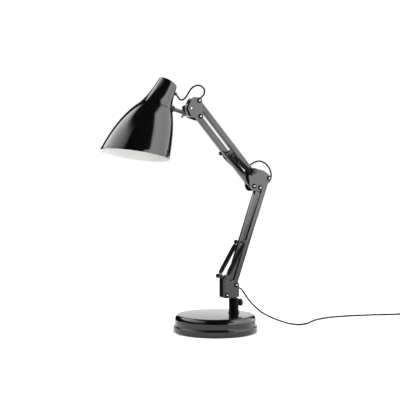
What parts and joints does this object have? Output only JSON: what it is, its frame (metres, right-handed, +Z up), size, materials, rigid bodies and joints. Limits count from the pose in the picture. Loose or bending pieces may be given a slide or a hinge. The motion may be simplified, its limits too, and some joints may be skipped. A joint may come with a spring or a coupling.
{
  "type": "swing arm desk lamp",
  "caption": "Desk lamp with a weighted round base, two spring-balanced parallelogram arms and a tilting bell shade, with its mains cord, switch and plug.",
  "frame": {"origin": "middle of the underside of the round base, on the surface it stands on", "axes": "+Z up along the base axis, the arms move in the XZ plane and the shade is on the -X side"},
  "size_m": [0.7715, 0.1692, 0.4621],
  "materials": {
    "gloss_black_enamel": "gloss",
    "shade_enamel": "gloss outside, white inside",
    "satin_black_enamel": "satin",
    "cast_iron": "rough",
    "rubber": "matt",
    "black_plastic": "satin",
    "bright_steel": "polished",
    "spring_steel": "satin",
    "white_holder": "satin",
    "bulb_glass": "opal",
    "cable_sheath": "satin",
    "brass": "bright"
  },
  "bodies": {
    "base": {"base_cover": "gloss_black_enamel", "base_pad": "rubber", "base_weight": "cast_iron", "post_tube": "satin_black_enamel", "post_nut": "bright_steel", "mains_cord": "cable_sheath", "mains_cord_link": "cable_sheath", "mains_cord_tail": "cable_sheath", "mains_cord_coil": "cable_sheath", "mains_cord_tie": "rubber", "switch_housing": "black_plastic", "plug_body": "black_plastic", "plug_pin_left": "brass", "plug_pin_right": "brass"},
    "thumb_screw": {"thumb_screw": "black_plastic"},
    "switch_rocker": {"switch_rocker": "black_plastic"},
    "swivel": {"lower_bracket": "satin_black_enamel", "bracket_stem": "cast_iron", "cord_grommet": "rubber", "lower_spring_anchor_pin": "bright_steel", "rivet_bracket_left": "bright_steel", "rivet_bracket_right": "bright_steel", "mains_cord_drop": "cable_sheath"},
    "lower_rod_left": {"lower_rod_left": "satin_black_enamel", "lower_spring_rod_pin": "bright_steel", "lower_spring_near": "spring_steel", "lower_spring_far": "spring_steel"},
    "lower_rod_right": {"lower_rod_right": "satin_black_enamel", "lower_rod_cable": "cable_sheath"},
    "elbow": {"elbow_plate_near": "satin_black_enamel", "elbow_plate_far": "satin_black_enamel", "rivet_elbow_left": "bright_steel", "rivet_elbow_right": "bright_steel", "rivet_elbow_upper_arm": "bright_steel", "elbow_knob_bolt": "bright_steel", "upper_spring_stud_near": "bright_steel", "upper_spring_stud_far": "bright_steel", "elbow_cable_loop": "cable_sheath"},
    "elbow_knob": {"elbow_knob": "black_plastic"},
    "upper_rod_lower": {"upper_rod_lower": "satin_black_enamel", "upper_spring_rod_pin": "bright_steel", "upper_spring_near": "spring_steel", "upper_spring_far": "spring_steel"},
    "upper_rod_upper": {"upper_rod_upper": "satin_black_enamel", "upper_rod_cable": "cable_sheath"},
    "head_bracket": {"head_plate_near": "satin_black_enamel", "head_plate_far": "satin_black_enamel", "rivet_head_lower": "bright_steel", "rivet_head_upper": "bright_steel", "tilt_bolt": "bright_steel"},
    "tilt_wing_nut": {"tilt_wing_nut": "satin_black_enamel"},
    "shade": {"shade_neck": "shade_enamel", "shade_bell": "shade_enamel", "shade_cable_gland": "rubber", "head_link": "satin_black_enamel", "lampholder": "white_holder", "bulb_cap": "brass", "bulb_globe": "bulb_glass", "head_cable_loop": "cable_sheath"}
  },
  "joints": [
    {"name": "base_swivel", "type": "hinge", "parent": "base", "child": "swivel", "pos_m": [0.0395, 0, 0.06], "axis": [0, 0, 1], "range_deg": [-90, 90], "deforming": ["mains_cord_drop"]},
    {"name": "post_clamp_turn", "type": "hinge", "parent": "base", "child": "thumb_screw", "pos_m": [0.0511, 0, 0.051], "axis": [1, 0, 0], "range_deg": [-180, 180]},
    {"name": "cord_switch_rock", "type": "hinge", "parent": "base", "child": "switch_rocker", "pos_m": [0.4908, -0.0138, 0.0106], "axis": [0.3487, 0.9372, 0], "range_deg": [0, 8]},
    {"name": "lower_arm", "type": "hinge", "parent": "swivel", "child": "lower_rod_left", "pos_m": [0.0195, 0, 0.0667], "axis": [0, 1, 0], "range_deg": [-14, 7], "deforming": ["lower_spring_near", "lower_spring_far"]},
    {"name": "lower_arm_parallel", "type": "hinge", "parent": "swivel", "child": "lower_rod_right", "pos_m": [0.0395, 0, 0.085], "axis": [0, 1, 0], "range_deg": [-14, 7]},
    {"name": "elbow_level", "type": "hinge", "parent": "lower_rod_left", "child": "elbow", "pos_m": [0.09164, 0, 0.26817], "axis": [0, 1, 0], "range_deg": [-7, 14]},
    {"name": "upper_arm", "type": "hinge", "parent": "elbow", "child": "upper_rod_lower", "pos_m": [0.07864, 0, 0.27087], "axis": [0, 1, 0], "range_deg": [-45, 16], "deforming": ["upper_spring_near", "upper_spring_far"]},
    {"name": "upper_arm_parallel", "type": "hinge", "parent": "elbow", "child": "upper_rod_upper", "pos_m": [0.07634, 0, 0.29937], "axis": [0, 1, 0], "range_deg": [-45, 16], "deforming": ["elbow_cable_loop"]},
    {"name": "elbow_knob_turn", "type": "hinge", "parent": "elbow", "child": "elbow_knob", "pos_m": [0.07634, -0.015, 0.29937], "axis": [0, 1, 0], "range_deg": [-180, 180]},
    {"name": "head_level", "type": "hinge", "parent": "upper_rod_lower", "child": "head_bracket", "pos_m": [-0.03599, 0, 0.39641], "axis": [0, 1, 0], "range_deg": [-16, 45]},
    {"name": "head_tilt", "type": "hinge", "parent": "head_bracket", "child": "shade", "pos_m": [-0.05569, 0, 0.40931], "axis": [0, 1, 0], "range_deg": [-40, 45], "deforming": ["head_cable_loop"]},
    {"name": "tilt_nut_turn", "type": "hinge", "parent": "head_bracket", "child": "tilt_wing_nut", "pos_m": [-0.05569, 0.013, 0.40931], "axis": [0, 1, 0], "range_deg": [-180, 180]}
  ],
  "couplings": [
    {"joint": "lower_arm_parallel", "follows": "lower_arm", "ratio": 1},
    {"joint": "elbow_level", "follows": "lower_arm", "ratio": -1},
    {"joint": "upper_arm_parallel", "follows": "upper_arm", "ratio": 1},
    {"joint": "head_level", "follows": "upper_arm", "ratio": -1}
  ]
}
